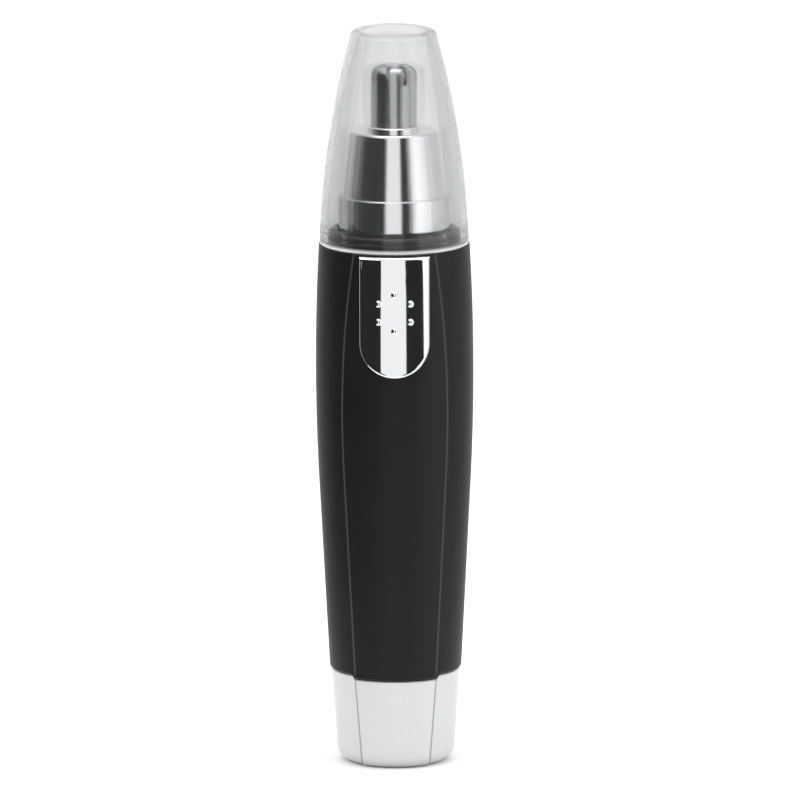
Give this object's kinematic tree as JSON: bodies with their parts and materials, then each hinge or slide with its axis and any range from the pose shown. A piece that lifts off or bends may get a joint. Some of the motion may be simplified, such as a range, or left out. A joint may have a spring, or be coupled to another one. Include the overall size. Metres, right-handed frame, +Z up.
{
  "type": "nose hair trimmer",
  "caption": "Pocket nose hair trimmer: a slotted cutter tube on a chromed screw-off head, a clear dust cap, a thumb switch, a motor and a pull-off base cap over the battery.",
  "frame": {"origin": "middle of the base cap's flat foot, where the trimmer stands", "axes": "+Z up along the trimmer from the base cap to the cutter, -Y out of the front with the thumb switch, +X to the right seen from the front"},
  "size_m": [0.0286, 0.0309, 0.135],
  "materials": {
    "handle_black": "satin moulded plastic",
    "base_silver": "satin silver lacquer on moulded plastic",
    "clear_plastic": "clear moulded plastic with a faint haze",
    "mirror_chrome": "polished chrome plate",
    "cutter_steel": "polished stainless steel",
    "spring_steel": "bright nickel-plated wire and strip",
    "contact_brass": "plain brass strip",
    "black_rubber": "matt black rubber",
    "collar_black": "semi-matt moulded plastic",
    "frame_grey": "dull grey moulded plastic",
    "white_plastic": "natural white nylon",
    "screw_steel": "bright zinc plate",
    "motor_steel": "zinc-plated drawn steel",
    "magnet_dark": "sintered ferrite",
    "core_steel": "stacked sheet steel",
    "winding_copper": "enamelled copper wire",
    "carbon_black": "carbon brush block",
    "lead_red": "insulated lead",
    "battery_jacket": "plain printed film",
    "battery_filling": "packed dark powder",
    "battery_seal": "nylon sealing ring"
  },
  "bodies": {
    "base": {"base_cap": "base_silver", "base_plug": "collar_black", "spring_plate": "spring_steel", "battery_spring": "spring_steel", "base_o_ring": "black_rubber"},
    "battery": {"battery_can": "spring_steel", "battery_core": "battery_filling", "battery_jacket": "battery_jacket", "battery_seal": "battery_seal", "battery_button": "spring_steel"},
    "handle": {"body_shell": "handle_black", "neck_collar": "collar_black", "cap_o_ring": "black_rubber", "neck_screws": "screw_steel", "motor_cradle": "frame_grey", "battery_sleeve": "frame_grey", "motor_can": "motor_steel", "motor_endcap": "white_plastic", "motor_bearing": "contact_brass", "motor_magnets": "magnet_dark", "motor_brushes": "carbon_black", "motor_terminals": "contact_brass", "negative_strip": "contact_brass", "motor_strip": "contact_brass", "positive_contact": "contact_brass", "motor_lead": "lead_red"},
    "switch": {"switch_button": "mirror_chrome", "switch_carrier": "white_plastic", "switch_bridge": "contact_brass"},
    "washer": {"head_washer": "black_rubber"},
    "head": {"head_ring": "mirror_chrome", "head_cone": "mirror_chrome", "outer_cutter": "cutter_steel", "cutter_bush": "white_plastic"},
    "rotor": {"inner_blade": "cutter_steel", "blade_shaft": "white_plastic", "drive_coupling": "white_plastic", "blade_spring": "spring_steel", "armature_core": "core_steel", "armature_windings": "winding_copper", "commutator": "contact_brass", "motor_shaft": "screw_steel"},
    "cap": {"dust_cap": "clear_plastic"}
  },
  "joints": [
    {"name": "base_pull", "type": "slide", "parent": "base", "child": "handle", "axis": [0, 0, 1], "range_m": [0, 0.07]},
    {"name": "battery_draw", "type": "slide", "parent": "base", "child": "battery", "axis": [0, 0, 1], "range_m": [0, 0.0175]},
    {"name": "dust_cap_pull", "type": "slide", "parent": "handle", "child": "cap", "axis": [0, 0, 1], "range_m": [0, 0.045]},
    {"name": "switch_slide", "type": "slide", "parent": "handle", "child": "switch", "axis": [0, 0, 1], "range_m": [0, 0.0025]},
    {"name": "head_turn", "type": "hinge", "parent": "handle", "child": "washer", "pos_m": [0, 0, 0.0986], "axis": [0, 0, 1], "range_deg": [0, 90]},
    {"name": "head_rise", "type": "slide", "parent": "washer", "child": "head", "axis": [0, 0, 1], "range_m": [0, 0.004]},
    {"name": "blade_spin", "type": "hinge", "parent": "handle", "child": "rotor", "pos_m": [0, 0, 0.1], "axis": [0, 0, 1], "continuous": true}
  ],
  "couplings": [
    {"joint": "battery_draw", "follows": "base_pull", "ratio": 0.25},
    {"joint": "head_rise", "follows": "head_turn", "m_per_rad": 0.0025465}
  ]
}
